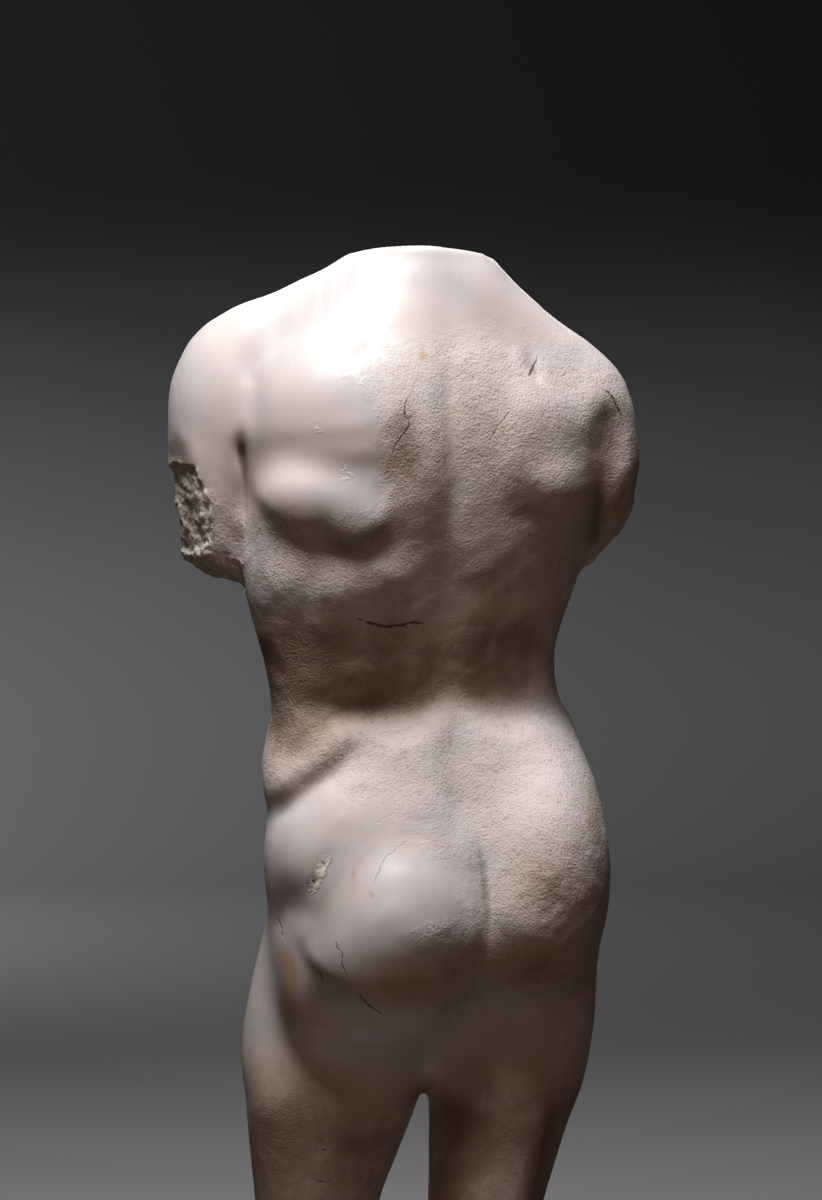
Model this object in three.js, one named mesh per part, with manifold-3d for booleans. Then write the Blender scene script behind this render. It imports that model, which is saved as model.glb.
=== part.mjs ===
// A life-size marble torso of a standing nude man, broken at the neck, both upper arms and both thighs,
// set down on a low stone plinth. Millimetres, +Z up, the figure's front towards -Y.
import * as THREE from "three";
import Module from "manifold-3d";

const wasm = await Module();
wasm.setup();

// Driving sizes of the whole work.
const PLINTH = { wide: 440, deep: 330, high: 90, chamfer: 5 };
const SEAT_GAP = 0.3; // the thighs' cut ends sit this far clear of the plinth's top
const THIGH_CUT = PLINTH.high + SEAT_GAP;
const NECK_BREAK = 1143;
const STANCE_TURN = THREE.MathUtils.degToRad(-20); // the figure is laid out turned, then squared to its plinth
const CELL = 18; // spacing of the carved surface's facets

const { abs, cos, exp, hypot, max, min, pow, sin, sqrt, tan } = Math;
const radians = THREE.MathUtils.degToRad;
const BOX_POWER = 2.35; // 2 would make the sections ellipses, more makes them squarer

// A smooth curve through rows of [height, value, value, ...], read at any height.
function profile(rows) {
  const heights = rows.map((row) => row[0]);
  const values = rows.flatMap((row) => row.slice(1));
  const width = rows[0].length - 1;
  const curve = new THREE.CubicInterpolant(heights, Float64Array.from(values), width);
  const [low, high] = [heights[0], heights[heights.length - 1]];
  return (height) => curve.evaluate(min(max(height, low), high));
}

// Joins two surfaces with a fillet of about the given radius.
function blend(a, b, radius) {
  const h = max(radius - abs(a - b), 0) / radius;
  return min(a, b) - (h * h * radius) / 4;
}

// ---- The stance: the line that the trunk follows, how far each level turns about it and how far it tips. ----
// [height, across, depth, turn, tip], turn and tip in degrees; tip lifts the figure's left side.
const stance = profile([
  [60, -24, 0, 25, -6],
  [330, -26, 0, 25, -8],
  [450, -31, 0, 25, -10],
  [520, -34, 0, 25, -11],
  [580, -32, 0, 24, -14],
  [640, -22, 0, 23, -16],
  [700, -14, 0, 21, -10],
  [760, -8, 0, 20, -3],
  [820, -6, 0, 19, 3],
  [900, -15, 0, 18, 5],
  [960, -17, 0, 18, 6],
  [1060, -18, 0, 16, 7],
  [1155, -19, 0, 12, 3],
  [1260, -19, 0, 12, 0],
]);

// A point of the block in the trunk's own frame: [side (figure's left), depth (back), height].
function inTrunk([x, y, z]) {
  const [across, depth, turn, tip] = stance(z);
  const c = cos(radians(turn));
  const s = sin(radians(turn));
  const dx = x - across;
  const dy = y - depth;
  const side = dx * c + dy * s;
  return [side, dy * c - dx * s, z - side * tan(radians(tip))];
}

// And back again, from the trunk's frame to the block's.
function inBlock([side, depth, height]) {
  let z = height;
  for (let n = 0; n < 4; n++) z = height + side * tan(radians(stance(z)[3]));
  const [across, middle, turn] = stance(z);
  const c = cos(radians(turn));
  const s = sin(radians(turn));
  return [across + side * c - depth * s, middle + depth * c + side * s, z];
}

// ---- The trunk, as a stack of rounded sections: [height, half width, back depth, front depth]. ----
const trunk = profile([
  [330, 70, 20, 40],
  [380, 130, 44, 70],
  [430, 158, 60, 86],
  [480, 170, 74, 95],
  [520, 173, 84, 99],
  [560, 171, 97, 100],
  [600, 165, 94, 99],
  [640, 158, 79, 98],
  [680, 151, 63, 96],
  [715, 149, 58, 95],
  [750, 152, 67, 96],
  [800, 166, 82, 102],
  [860, 177, 97, 108],
  [920, 178, 105, 111],
  [980, 170, 106, 106],
  [1030, 148, 96, 94],
  [1080, 108, 78, 76],
  [1130, 66, 56, 58],
]);
const TRUNK_LOW = 345;
const TRUNK_HIGH = 1120;

function trunkDistance(point) {
  const [side, depth, height] = inTrunk(point);
  const [wide, back, front] = trunk(height);
  const share = depth > 0 ? back : front;
  const rho = pow(pow(abs(side) / wide, BOX_POWER) + pow(abs(depth) / share, BOX_POWER), 1 / BOX_POWER);
  const wall = rho < 0.05 ? -share : hypot(side, depth) * (1 - 1 / rho);
  return max(wall, TRUNK_LOW - height, height - TRUNK_HIGH);
}

// ---- The thighs, each a stack of rounded sections: [height, across, depth, half width, back, front]. ----
const thighs = [
  profile([
    [40, 95, -48, 48, 54, 60],
    [90, 94, -42, 50, 56, 62],
    [200, 87, -30, 64, 70, 76],
    [255, 79, -22, 77, 74, 80],
    [300, 72, -15, 87, 74, 84],
    [350, 66, -9, 93, 66, 86],
    [400, 60, -4, 94, 60, 88],
    [450, 54, 0, 84, 50, 80],
    [500, 50, 0, 56, 36, 54],
    [530, 48, 0, 24, 16, 24],
  ]),
  profile([
    [40, -58, 8, 48, 56, 60],
    [90, -64, 6, 49, 58, 62],
    [200, -82, 2, 58.5, 70, 74],
    [250, -90, 1, 66, 69, 80],
    [300, -98, 0, 74, 67, 84],
    [350, -104, 0, 81, 62, 86],
    [400, -108, 0, 83, 62, 88],
    [450, -110, 0, 76, 50, 80],
    [500, -110, 0, 50, 36, 54],
    [530, -110, 0, 22, 16, 24],
  ]),
];
const THIGH_LOW = 50;
const THIGH_HIGH = 530;

function thighDistance(thigh, [x, y, z]) {
  const [across, depth, wide, back, front] = thigh(z);
  const dx = x - across;
  const dy = y - depth;
  const share = dy > 0 ? back : front;
  const rho = pow(pow(abs(dx) / wide, 2.15) + pow(abs(dy) / share, 2.15), 1 / 2.15);
  const wall = rho < 0.05 ? -wide : hypot(dx, dy) * (1 - 1 / rho);
  return max(wall, THIGH_LOW - z, z - THIGH_HIGH);
}

// ---- The whole figure as a field, negative inside the marble: the trunk and thighs, then every mass and
// stroke in the order it is put on. ----
const masses = []; // { distance, fillet }
const strokes = []; // functions giving how far the surface is lifted

function figure(x, y, z) {
  const point = [x, y, z];
  let distance = blend(thighDistance(thighs[0], point), thighDistance(thighs[1], point), 10);
  distance = blend(trunkDistance(point), distance, 26);
  for (const mass of masses) distance = blend(distance, mass.distance(point), mass.fillet);
  if (abs(distance) < 60) for (const lift of strokes) distance -= lift(point);
  return distance;
}

function slope(point, step) {
  const rise = [0, 1, 2].map((axis) => {
    const ahead = point.slice();
    const behind = point.slice();
    ahead[axis] += step;
    behind[axis] -= step;
    return figure(...ahead) - figure(...behind);
  });
  const length = hypot(...rise) || 1;
  return rise.map((value) => value / length);
}

// The first place on the figure, as it stands so far, met from outside going towards a point.
function meet(from, towards) {
  const run = towards.map((value, axis) => value - from[axis]);
  const length = hypot(...run);
  const step = run.map((value) => value / length);
  let at = from.slice();
  for (let n = 0; n < 60; n++) {
    const gap = figure(...at);
    at = at.map((value, axis) => value + step[axis] * gap * 0.8);
    if (abs(gap) < 0.05) break;
  }
  return { point: at, out: slope(at, 8) };
}

const FAR = 260;
const behind = (x, z) => meet([x, FAR, z], [x, 0, z]);
const before = (side, height) => meet(inBlock([side, -FAR, height]), inBlock([side, 0, height]));
function flank(angle, height) {
  const a = radians(angle); // from the spine (0) over the figure's left side (90) to its front (180)
  return meet(inBlock([sin(a) * 330, cos(a) * FAR, height]), inBlock([0, 0, height]));
}

// ---- Masses. A pad is a flattened oval seated on the surface and standing proud of it. ----
// across and along are the half sizes of its footprint, thick the oval's half size through the wall, and lean
// turns it on the wall.
function pad(seat, { across, along, thick = 40, proud, lean = 0 }) {
  const footprint = sqrt(1 - (1 - proud / thick) ** 2); // share of the oval's half size left at the wall
  const out = new THREE.Vector3(...seat.out);
  const level = new THREE.Vector3(out.y, -out.x, 0).normalize(); // along the wall, to the figure's left on its back
  const up = new THREE.Vector3().crossVectors(out, level).normalize();
  if (up.z < 0) up.negate();
  const c = cos(radians(lean));
  const s = sin(radians(lean));
  const wideAxis = level.clone().multiplyScalar(c).addScaledVector(up, s);
  const longAxis = up.clone().multiplyScalar(c).addScaledVector(level, -s);
  const middle = new THREE.Vector3(...seat.point).addScaledVector(out, proud - thick);
  return oval(middle, [wideAxis, longAxis, out], [across / footprint, along / footprint, thick]);
}

// Axes tipped about the depth, by degrees; a positive tip lifts the figure's left.
const tilted = (degrees) => {
  const c = cos(radians(degrees));
  const s = sin(radians(degrees));
  return [new THREE.Vector3(c, 0, s), new THREE.Vector3(0, 1, 0), new THREE.Vector3(-s, 0, c)];
};
const UPRIGHT = tilted(0);

function oval(middle, axes, radii) {
  return ([x, y, z]) => {
    const dx = x - middle.x;
    const dy = y - middle.y;
    const dz = z - middle.z;
    let near = 0;
    let far = 0;
    for (let i = 0; i < 3; i++) {
      const t = (dx * axes[i].x + dy * axes[i].y + dz * axes[i].z) / radii[i];
      near += t * t;
      far += (t * t) / (radii[i] * radii[i]);
    }
    near = sqrt(near);
    far = sqrt(far);
    return far < 1e-6 ? -min(...radii) : (near * (near - 1)) / far;
  };
}

// A round limb between two points, with its own radius at each.
function limb(from, fromRadius, to, toRadius) {
  const start = new THREE.Vector3(...from);
  const run = new THREE.Vector3(...to).sub(start);
  const length2 = run.lengthSq();
  return ([x, y, z]) => {
    const dx = x - start.x;
    const dy = y - start.y;
    const dz = z - start.z;
    const t = min(max((dx * run.x + dy * run.y + dz * run.z) / length2, 0), 1);
    const radius = fromRadius + (toRadius - fromRadius) * t;
    return hypot(dx - run.x * t, dy - run.y * t, dz - run.z * t) - radius;
  };
}

// A limb laid along the surface between two seats, standing proud of it.
function bar(from, to, radius, proud) {
  const [start, end] = [from, to].map(({ point, out }) => point.map((v, i) => v + out[i] * (proud - radius)));
  return limb(start, radius, end, radius);
}

// A stroke is a line drawn on the surface through a few seats. It raises (or with a negative height lowers) the
// surface beside it, falling away over its width.
const REACH = 60; // a stroke acts this far through the surface, and not on the far side of the body

function stroke(seats, { width, height }) {
  const pairs = seats.length > 1 ? seats.slice(1).map((seat, i) => [seats[i], seat]) : [[seats[0], seats[0]]];
  const spans = pairs.map(([a, b]) => {
    const run = b.point.map((value, i) => value - a.point[i]);
    return { at: a.point, run, length2: hypot(...run) ** 2 || 1, out: a.out, turn: b.out.map((v, i) => v - a.out[i]) };
  });
  return ([x, y, z]) => {
    let best = 0;
    for (const { at, run, length2, out, turn } of spans) {
      const ox = x - at[0];
      const oy = y - at[1];
      const oz = z - at[2];
      const t = min(max((ox * run[0] + oy * run[1] + oz * run[2]) / length2, 0), 1);
      const vx = ox - run[0] * t;
      const vy = oy - run[1] * t;
      const vz = oz - run[2] * t;
      const through = vx * (out[0] + turn[0] * t) + vy * (out[1] + turn[1] * t) + vz * (out[2] + turn[2] * t);
      if (abs(through) > REACH) continue;
      const beside2 = max(vx * vx + vy * vy + vz * vz - through * through, 0) / (width * width);
      if (beside2 > 8) continue;
      best = max(best, exp(-beside2) * (1 - (through / REACH) ** 2));
    }
    return best * height;
  };
}

const add = (distance, fillet) => masses.push({ distance, fillet });
const draw = (line, sizes, seat = behind) =>
  strokes.push(stroke(line.map(([across, height]) => seat(across, height)), sizes));
const SIDES = [1, -1]; // the figure's left, then its right

// Neck, and the slopes of the shoulders down to their points.
add(limb([-19, 8, 1080], 62, [-19, 0, 1175], 60), 30);
add(limb([40, 8, 1095], 50, [134, 4, 1058], 44), 24);
add(limb([-62, 8, 1096], 48, [-134, -6, 1041], 43), 24);

// The muscles over the ribs, which the arms then come down beside.
for (const side of SIDES) {
  for (const [angle, height] of [[112, 872], [118, 838], [122, 804]]) {
    add(pad(flank(side * angle, height), { across: 26, along: 15, proud: 7, lean: side * 24 }), 8);
  }
}

// Shoulder caps and the stumps of the upper arms.
add(oval(new THREE.Vector3(160, 2, 986), UPRIGHT, [77, 62, 104]), 22);
add(oval(new THREE.Vector3(-160, -12, 960), UPRIGHT, [76, 58, 104]), 22);
add(limb([187, 4, 940], 50, [186, -2, 860], 44), 8);
add(limb([-190, -22, 930], 46, [-188, -38, 878], 42), 10);

// Buttocks: the left one slack and low, the right one drawn up and flat, with the hip muscles above them and
// a web that fills the bottom of the cleft.
add(oval(new THREE.Vector3(60, 38, 554), UPRIGHT, [76, 75, 90]), 30);
add(oval(new THREE.Vector3(-116, 4, 588), UPRIGHT, [72, 62, 88]), 30);
add(limb([92, -2, 472], 46, [106, -12, 345], 52), 20);
add(limb([-140, -12, 460], 50, [-126, -22, 330], 52), 20);
add(limb([-70, 60, 560], 32, [-80, 80, 462], 30), 20);
add(oval(new THREE.Vector3(9, 46, 478), UPRIGHT, [93, 107, 108]), 18);
add(oval(new THREE.Vector3(-137, 18, 528), UPRIGHT, [69, 98, 122]), 18);
add(oval(new THREE.Vector3(-118, 32, 476), UPRIGHT, [60, 84, 78]), 26);

// Shoulder blades with the muscles over them: on each side an upper mass, and a lower one running to the arm.
add(pad(behind(70, 986), { across: 56, along: 54, thick: 60, proud: 13 }), 16);
add(bar(behind(99, 896), behind(34, 884), 44, 17), 12);
add(pad(behind(-136, 982), { across: 34, along: 50, thick: 50, proud: 8 }), 14);
add(pad(behind(-152, 914), { across: 26, along: 26, proud: 8 }), 12);

// The broad muscles of the lower back, and the roll above the left hip bone.
add(pad(behind(58, 806), { across: 42, along: 36, thick: 44, proud: 7, lean: 10 }), 16);
add(oval(new THREE.Vector3(84, 2, 650), tilted(-22), [48, 52, 66]), 16);

// Chest and belly.
for (const side of SIDES) {
  add(pad(before(side * 78, 962), { across: 76, along: 56, proud: 17, lean: side * -12 }), 16);
}
for (const height of [862, 806, 750]) {
  for (const side of SIDES) add(pad(before(side * 34, height), { across: 33, along: 27, proud: 8 }), 12);
}
for (const side of SIDES) {
  add(pad(before(side * 36, 640), { across: 44, along: 74, proud: 7 }), 20);
  add(pad(flank(side * 122, 655), { across: 52, along: 38, proud: 11, lean: side * 14 }), 12);
}
add(pad(before(0, 452), { across: 44, along: 38, thick: 46, proud: 18 }), 20);

// Furrows of the back: the spine and the hollow above the cleft.
draw([[-43, 1100], [-48, 1000], [-51, 930], [-46, 840], [-41, 760], [-38, 700], [-51, 640]], { width: 15, height: -3 });
draw([[-58, 610], [-68, 575]], { width: 16, height: -8 });
draw([[124, 588], [98, 607], [66, 634], [42, 658]], { width: 12, height: -6 });

// Furrows of the front: the breastbone, the middle line, the arch of the ribs and the creases of the groin.
draw([[0, 1045], [0, 915]], { width: 13, height: -7 }, before);
draw([[0, 890], [0, 720]], { width: 10, height: -5 }, before);
draw([[0, 703]], { width: 10, height: -10 }, before);
for (const side of SIDES) {
  draw([[side * 22, 1075], [side * 80, 1066], [side * 140, 1062]], { width: 10, height: 5 }, before);
  draw([[0, 893], [side * 50, 868], [side * 96, 800], [side * 118, 745]], { width: 13, height: -6 }, before);
  draw([[side * 146, 628], [side * 118, 590], [side * 72, 520], [side * 34, 478]], { width: 11, height: -8 }, before);
}

// ---- From the field to facets: one vertex in each cell that the surface crosses, drawn onto the surface. ----
function facet(field, low, high, cell) {
  const count = [0, 1, 2].map((i) => Math.ceil((high[i] - low[i]) / cell) + 1);
  const [nx, ny, nz] = count;
  const at = (i, j, k) => i + nx * (j + ny * k);
  const values = new Float64Array(nx * ny * nz);
  for (let k = 0; k < nz; k++)
    for (let j = 0; j < ny; j++)
      for (let i = 0; i < nx; i++)
        values[at(i, j, k)] = field(low[0] + i * cell, low[1] + j * cell, low[2] + k * cell);

  const points = [];
  const pointOf = new Map();
  for (let k = 0; k < nz - 1; k++)
    for (let j = 0; j < ny - 1; j++)
      for (let i = 0; i < nx - 1; i++) {
        const sum = [0, 0, 0];
        let crossings = 0;
        const corner = (n) => values[at(i + (n & 1), j + ((n >> 1) & 1), k + ((n >> 2) & 1))];
        for (let a = 0; a < 8; a++)
          for (const bit of [1, 2, 4]) {
            const b = a | bit;
            if (b === a || corner(a) < 0 === corner(b) < 0) continue;
            const t = corner(a) / (corner(a) - corner(b));
            [1, 2, 4].forEach((axisBit, axis) => {
              sum[axis] += (a & axisBit ? 1 : 0) + (axisBit === bit ? t : 0);
            });
            crossings++;
          }
        if (!crossings) continue;
        pointOf.set(at(i, j, k), points.length);
        points.push([i, j, k].map((n, axis) => low[axis] + (n + sum[axis] / crossings) * cell));
      }

  const quads = [];
  for (let k = 1; k < nz - 1; k++)
    for (let j = 1; j < ny - 1; j++)
      for (let i = 1; i < nx - 1; i++) {
        const here = values[at(i, j, k)] < 0;
        const around4 = [
          [[i + 1, j, k], [i, j - 1, k - 1], [i, j, k - 1], [i, j, k], [i, j - 1, k]],
          [[i, j + 1, k], [i - 1, j, k - 1], [i - 1, j, k], [i, j, k], [i, j, k - 1]],
          [[i, j, k + 1], [i - 1, j - 1, k], [i, j - 1, k], [i, j, k], [i - 1, j, k]],
        ];
        for (const [next, ...cells] of around4) {
          if (here === values[at(...next)] < 0) continue;
          const quad = cells.map((cellAt) => pointOf.get(at(...cellAt)));
          quads.push(here ? quad : quad.reverse());
        }
      }
  return { points, quads };
}

// Spreads the vertices evenly over the surface and draws each back onto it.
function settle(field, { points, quads }, rounds) {
  const beside = points.map(() => new Set());
  for (const quad of quads)
    quad.forEach((vertex, n) => {
      beside[vertex].add(quad[(n + 1) % 4]);
      beside[quad[(n + 1) % 4]].add(vertex);
    });
  const drawIn = (point) => {
    for (let n = 0; n < 4; n++) {
      const gap = max(-6, min(6, field(...point)));
      slope(point, 2).forEach((value, axis) => {
        point[axis] -= value * gap * 0.8;
      });
    }
  };
  points.forEach(drawIn);
  for (let round = 0; round < rounds; round++) {
    const moved = points.map((point, vertex) => {
      const middle = [0, 0, 0];
      for (const other of beside[vertex]) points[other].forEach((value, axis) => (middle[axis] += value));
      return point.map((value, axis) => (value + middle[axis] / beside[vertex].size) / 2);
    });
    moved.forEach(drawIn);
    moved.forEach((point, vertex) => (points[vertex] = point));
  }
}

function carve() {
  const low = [-290, -210, THIGH_LOW - 2 * CELL];
  const high = [310, 230, 1280];
  const net = facet(figure, low, high, CELL);
  settle(figure, net, 3);
  const corners = [];
  for (const [a, b, c, d] of net.quads) {
    const span = (m, n) => hypot(...net.points[m].map((value, axis) => value - net.points[n][axis]));
    corners.push(...(span(a, c) < span(b, d) ? [a, b, c, a, c, d] : [a, b, d, b, c, d]));
  }
  return solid(Float32Array.from(net.points.flat()), Uint32Array.from(corners));
}

const solid = (vertProperties, triVerts) =>
  new wasm.Manifold(new wasm.Mesh({ numProp: 3, vertProperties, triVerts }));

// A break: everything within a box of the block (low corner to high corner) that lies past a plane through
// `point`, on the side that `out` points to.
function breakOff(made, point, out, [low, high]) {
  const size = 900;
  const slab = new THREE.BoxGeometry(size, size, size).translate(0, 0, size / 2);
  const facing = new THREE.Quaternion();
  facing.setFromUnitVectors(new THREE.Vector3(0, 0, 1), new THREE.Vector3(...out).normalize());
  slab.applyQuaternion(facing).translate(...point);
  const bounds = new THREE.BoxGeometry(...high.map((value, i) => value - low[i]));
  bounds.translate(...high.map((value, i) => (value + low[i]) / 2));
  return made.subtract(toSolid(slab).intersect(toSolid(bounds)));
}

function toSolid(geometry) {
  const merged = new Map();
  const vertices = [];
  const source = geometry.getAttribute("position");
  const slots = [];
  for (let n = 0; n < source.count; n++) {
    const key = [source.getX(n), source.getY(n), source.getZ(n)].map((value) => value.toFixed(3)).join();
    if (!merged.has(key)) {
      merged.set(key, vertices.length / 3);
      vertices.push(source.getX(n), source.getY(n), source.getZ(n));
    }
    slots.push(merged.get(key));
  }
  return solid(Float32Array.from(vertices), Uint32Array.from(geometry.index.array, (n) => slots[n]));
}

function toGeometry(made) {
  const { vertProperties, triVerts } = made.getMesh();
  const geometry = new THREE.BufferGeometry();
  geometry.setAttribute("position", new THREE.BufferAttribute(vertProperties, 3));
  geometry.setIndex(new THREE.BufferAttribute(triVerts, 1));
  return geometry;
}

const ACROSS_ALL = [-400, 400];
const box = ([x0, x1], [z0, z1]) => [[x0, -300, z0], [x1, 300, z1]];
const breaks = [
  [[-19, 0, NECK_BREAK], [-0.03, -0.1, 1], box(ACROSS_ALL, [1090, 1300])], // the neck
  [[0, 0, THIGH_CUT], [0, 0, -1], box(ACROSS_ALL, [-50, 150])], // the thighs, on the plinth
  [[194, 40, 842], [0.44, 0.27, -0.86], box([158, 300], [790, 900])], // the end of the left upper arm
  [[221, 5, 870], [0.83, 0.52, -0.19], box([180, 300], [780, 1000])], // the spall up the outside of it
  [[-211, -30, 864], [-0.79, -0.1, -0.61], box([-300, -184], [760, 960])], // the end of the right upper arm
];
const torsoSolid = breaks.reduce((made, broken) => breakOff(made, ...broken), carve());

const marble = new THREE.MeshStandardMaterial({ color: 0xd9cfc2, roughness: 0.5, metalness: 0 });
const torso = new THREE.Mesh(toGeometry(torsoSolid), marble);
torso.name = "torso";
torso.rotation.z = STANCE_TURN;
torso.position.set(-6, 16, 0); // brings the two thighs over the middle of the plinth

// ---- The plinth: one low block with chamfered edges. ----
function block({ wide, deep, high, chamfer }) {
  const inset = chamfer;
  const outline = new THREE.Shape();
  outline.moveTo(-wide / 2 + inset, -deep / 2 + inset);
  outline.lineTo(wide / 2 - inset, -deep / 2 + inset);
  outline.lineTo(wide / 2 - inset, deep / 2 - inset);
  outline.lineTo(-wide / 2 + inset, deep / 2 - inset);
  outline.closePath();
  const geometry = new THREE.ExtrudeGeometry(outline, {
    depth: high - 2 * chamfer,
    bevelEnabled: true,
    bevelThickness: chamfer,
    bevelSize: chamfer,
    bevelSegments: 1,
  });
  return geometry.translate(0, 0, chamfer);
}

const stone = new THREE.MeshStandardMaterial({ color: 0x8f8a83, roughness: 0.7, metalness: 0 });
const plinth = new THREE.Mesh(block(PLINTH), stone);
plinth.name = "plinth";

const work = new THREE.Group();
work.add(torso, plinth);
export default work;
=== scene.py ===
import math

import bmesh
import bpy
import numpy as np
from mathutils import Matrix, Vector, noise


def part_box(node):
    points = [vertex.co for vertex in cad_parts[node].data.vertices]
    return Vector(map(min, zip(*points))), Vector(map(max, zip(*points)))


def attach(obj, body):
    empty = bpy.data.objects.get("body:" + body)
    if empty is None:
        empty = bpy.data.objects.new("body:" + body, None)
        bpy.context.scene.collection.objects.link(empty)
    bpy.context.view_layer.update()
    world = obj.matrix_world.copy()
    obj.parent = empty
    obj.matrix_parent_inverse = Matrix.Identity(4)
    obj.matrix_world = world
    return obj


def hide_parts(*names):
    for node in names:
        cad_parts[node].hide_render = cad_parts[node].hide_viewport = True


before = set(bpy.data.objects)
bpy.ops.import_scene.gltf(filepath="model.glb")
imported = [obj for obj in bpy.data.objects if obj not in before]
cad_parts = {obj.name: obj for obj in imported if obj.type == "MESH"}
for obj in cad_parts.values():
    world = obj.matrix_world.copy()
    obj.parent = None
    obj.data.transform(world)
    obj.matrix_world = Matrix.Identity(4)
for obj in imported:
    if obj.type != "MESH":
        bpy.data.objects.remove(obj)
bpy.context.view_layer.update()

# ---- The torso ----
# One block of white marble, carved and rubbed smooth, later broken at the neck and the upper arms and cut
# flat through the thighs. Half of its skin is still polished; the rest has a pitted, tan-brown crust. It
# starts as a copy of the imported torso, which is merged, rounded and then carved finer by strokes.

TURN = math.radians(20)  # the figure was laid out with its back turned this far, and its strokes are drawn so
STAND = (-6.0, 16.0)  # where that layout's upright stands on the plinth
SKIN_CELL = 0.0041  # metres between the points of the finished surface
VIEW_DISTANCE = 3600.0  # mm from the upright back to the viewer that the strokes are drawn for,
VIEW_HEIGHT = 800.0  # the height of that viewer's eye,
VIEW_OFFSET = 7.0  # and how far it stands to the figure's right of the upright

bpy.ops.object.select_all(action="DESELECT")
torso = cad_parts["torso"].copy()
torso.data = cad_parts["torso"].data.copy()
torso.name = torso.data.name = "carved_torso"
torso.parent = None
torso.matrix_world = Matrix.Identity(4)
bpy.context.scene.collection.objects.link(torso)
torso.select_set(True)
bpy.context.view_layer.objects.active = torso

bpy.ops.object.mode_set(mode="EDIT")
bpy.ops.mesh.select_all(action="SELECT")
bpy.ops.mesh.remove_doubles(threshold=0.00005)
bpy.ops.mesh.tris_convert_to_quads(face_threshold=math.radians(60), shape_threshold=math.radians(60))
bpy.ops.mesh.select_all(action="DESELECT")
bpy.ops.mesh.edges_select_sharp(sharpness=math.radians(50))
bpy.ops.transform.edge_crease(value=1)
bpy.ops.object.mode_set(mode="OBJECT")

rounding = torso.modifiers.new("rounding", "SUBSURF")
rounding.levels = rounding.render_levels = 2
bpy.ops.object.modifier_apply(modifier=rounding.name)
skin = torso.modifiers.new("skin", "REMESH")
skin.mode = "VOXEL"
skin.voxel_size = SKIN_CELL
bpy.ops.object.modifier_apply(modifier=skin.name)


def read_surface(mesh):
    """Points in the layout's millimetres, their outward directions there, and the edges."""
    points = np.empty(len(mesh.vertices) * 3)
    outward = np.empty(len(mesh.vertices) * 3)
    ends = np.empty(len(mesh.edges) * 2, dtype=np.int32)
    mesh.vertices.foreach_get("co", points)
    mesh.vertex_normals.foreach_get("vector", outward)
    mesh.edges.foreach_get("vertices", ends)
    points = points.reshape(-1, 3) * 1000
    outward = outward.reshape(-1, 3)
    points[:, 0] -= STAND[0]
    points[:, 1] -= STAND[1]
    return turned(points, TURN), turned(outward, TURN), ends.reshape(-1, 2)


def turned(points, angle):
    c, s = math.cos(angle), math.sin(angle)
    x = points[:, 0] * c - points[:, 1] * s
    y = points[:, 0] * s + points[:, 1] * c
    return np.stack([x, y, points[:, 2]], axis=1)


def write_surface(mesh, points):
    placed = turned(points, -TURN)
    placed[:, 0] += STAND[0]
    placed[:, 1] += STAND[1]
    mesh.vertices.foreach_set("co", (placed / 1000).ravel())
    mesh.update()


def relaxed(values, ends, rounds, share=0.5):
    """Values averaged with their neighbours along the edges, round after round."""
    count = np.bincount(ends.ravel(), minlength=len(values)).astype(float)
    values = values.astype(float).copy()
    for _ in range(rounds):
        total = np.zeros_like(values)
        np.add.at(total, ends[:, 0], values[ends[:, 1]])
        np.add.at(total, ends[:, 1], values[ends[:, 0]])
        mean = total / (count[:, None] if values.ndim == 2 else count)
        values += (mean - values) * share
    return values


def smoothstep(low, high, value):
    t = np.clip((value - low) / (high - low), 0, 1)
    return t * t * (3 - 2 * t)


def seen_from_behind(points):
    """Where each point shows to a viewer behind the figure: how far to its left, and how high."""
    nearer = VIEW_DISTANCE / (VIEW_DISTANCE - points[:, 1])
    across = (points[:, 0] + VIEW_OFFSET) * nearer - VIEW_OFFSET
    height = (points[:, 2] - VIEW_HEIGHT) * nearer + VIEW_HEIGHT
    return np.stack([across, height], axis=1)


def curved(line, steps=6):
    """A smooth curve through the points of a line."""
    line = np.array(line, float)
    if len(line) < 3:
        return line
    padded = np.vstack([2 * line[0] - line[1], line, 2 * line[-1] - line[-2]])
    curve = []
    for a, b, c, d in zip(padded, padded[1:], padded[2:], padded[3:]):
        for t in np.arange(steps) / steps:
            squared = (2 * a - 5 * b + 4 * c - d) * t**2
            cubed = (3 * b - a - 3 * c + d) * t**3
            curve.append(0.5 * (2 * b + (c - a) * t + squared + cubed))
    return np.vstack([curve, line[-1]])


def beside(places, line):
    """How far each place is from a line, on which side of it, and level with which share of the line."""
    line = curved(line)
    run = np.diff(line, axis=0)
    length = np.hypot(*run.T)
    start = np.concatenate([[0], np.cumsum(length)])
    away = np.full(len(places), 1e9)
    side = np.zeros(len(places))
    share = np.zeros(len(places))
    for at, step, size, passed in zip(line, run, length, start):
        gap = places - at
        t = np.clip(gap @ step / size**2, 0, 1)
        off = gap - t[:, None] * step
        distance = np.hypot(off[:, 0], off[:, 1])
        nearer = distance < away
        away[nearer] = distance[nearer]
        side[nearer] = np.sign(step[0] * gap[nearer, 1] - step[1] * gap[nearer, 0])
        share[nearer] = (passed + t[nearer] * size) / start[-1]
    return away, side, share


def tapered(share, ends=0.15):
    return smoothstep(0, ends, share) * smoothstep(0, ends, 1 - share)


def groove(line, width, depth, ends=0.15):
    """A hollow (or with a negative depth a ridge) along a line."""
    away, _, share = beside(seen, line)
    return -depth * np.exp(-((away / width) ** 2)) * tapered(share, ends) * on_back


def band(line, width, strength, ends=0.3):
    """A share that is full along a line and fades away beside it."""
    return groove(line, width, -strength, ends)


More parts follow.
